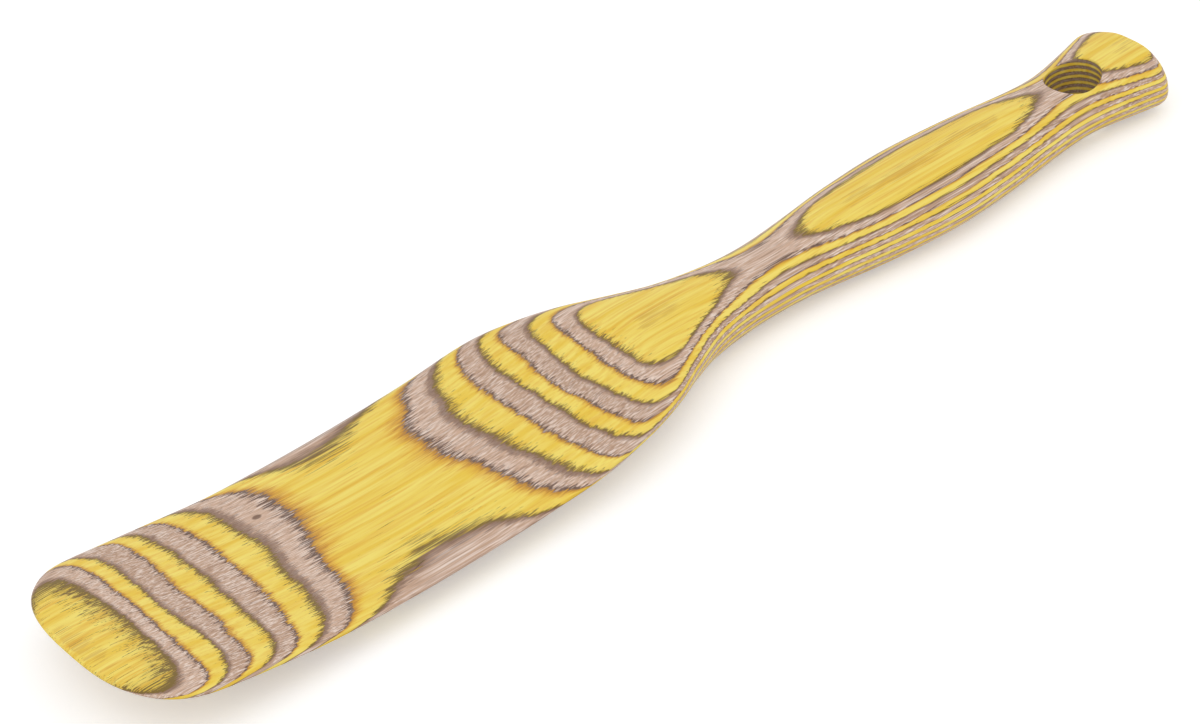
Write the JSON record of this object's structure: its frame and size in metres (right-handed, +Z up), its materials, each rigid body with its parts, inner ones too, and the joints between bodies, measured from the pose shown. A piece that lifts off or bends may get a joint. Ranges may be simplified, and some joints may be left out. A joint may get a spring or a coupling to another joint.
{
  "type": "spurtle",
  "caption": "Flat wooden stirring paddle carved from a board of yellow and grey veneers, with a scooped blade, a waisted handle and a hang hole.",
  "frame": {"origin": "bottom centre of the tool's box, under the middle of its length and level with the board's underside", "axes": "+X along the tool from the blade's tip to the butt, +Y across it, +Z up through the veneers, out of the scooped face"},
  "size_m": [0.33, 0.0686, 0.0158],
  "materials": {
    "yellow_veneer": "sanded, satin",
    "grey_veneer": "sanded, satin"
  },
  "bodies": {
    "root": {"veneer_01_tip": "yellow_veneer", "veneer_01_shoulder": "yellow_veneer", "veneer_01_grip": "yellow_veneer", "veneer_01_butt": "yellow_veneer", "veneer_02_tip": "grey_veneer", "veneer_02_handle": "grey_veneer", "veneer_02_butt": "grey_veneer", "veneer_03_tip": "yellow_veneer", "veneer_03_handle": "yellow_veneer", "veneer_04_tip": "grey_veneer", "veneer_04_handle": "grey_veneer", "veneer_05_tip": "yellow_veneer", "veneer_05_handle": "yellow_veneer", "veneer_06_tip": "grey_veneer", "veneer_06_handle": "grey_veneer", "veneer_07_tip": "yellow_veneer", "veneer_07_handle": "yellow_veneer", "veneer_08_tip": "grey_veneer", "veneer_08_handle": "grey_veneer", "veneer_09": "yellow_veneer", "veneer_10": "grey_veneer", "veneer_11": "yellow_veneer", "veneer_12": "grey_veneer", "veneer_13": "yellow_veneer", "veneer_14": "grey_veneer", "veneer_15": "yellow_veneer", "veneer_16_handle": "grey_veneer", "veneer_16_butt": "grey_veneer", "veneer_17_shoulder": "yellow_veneer", "veneer_17_grip": "yellow_veneer", "veneer_17_butt": "yellow_veneer"}
  },
  "joints": []
}
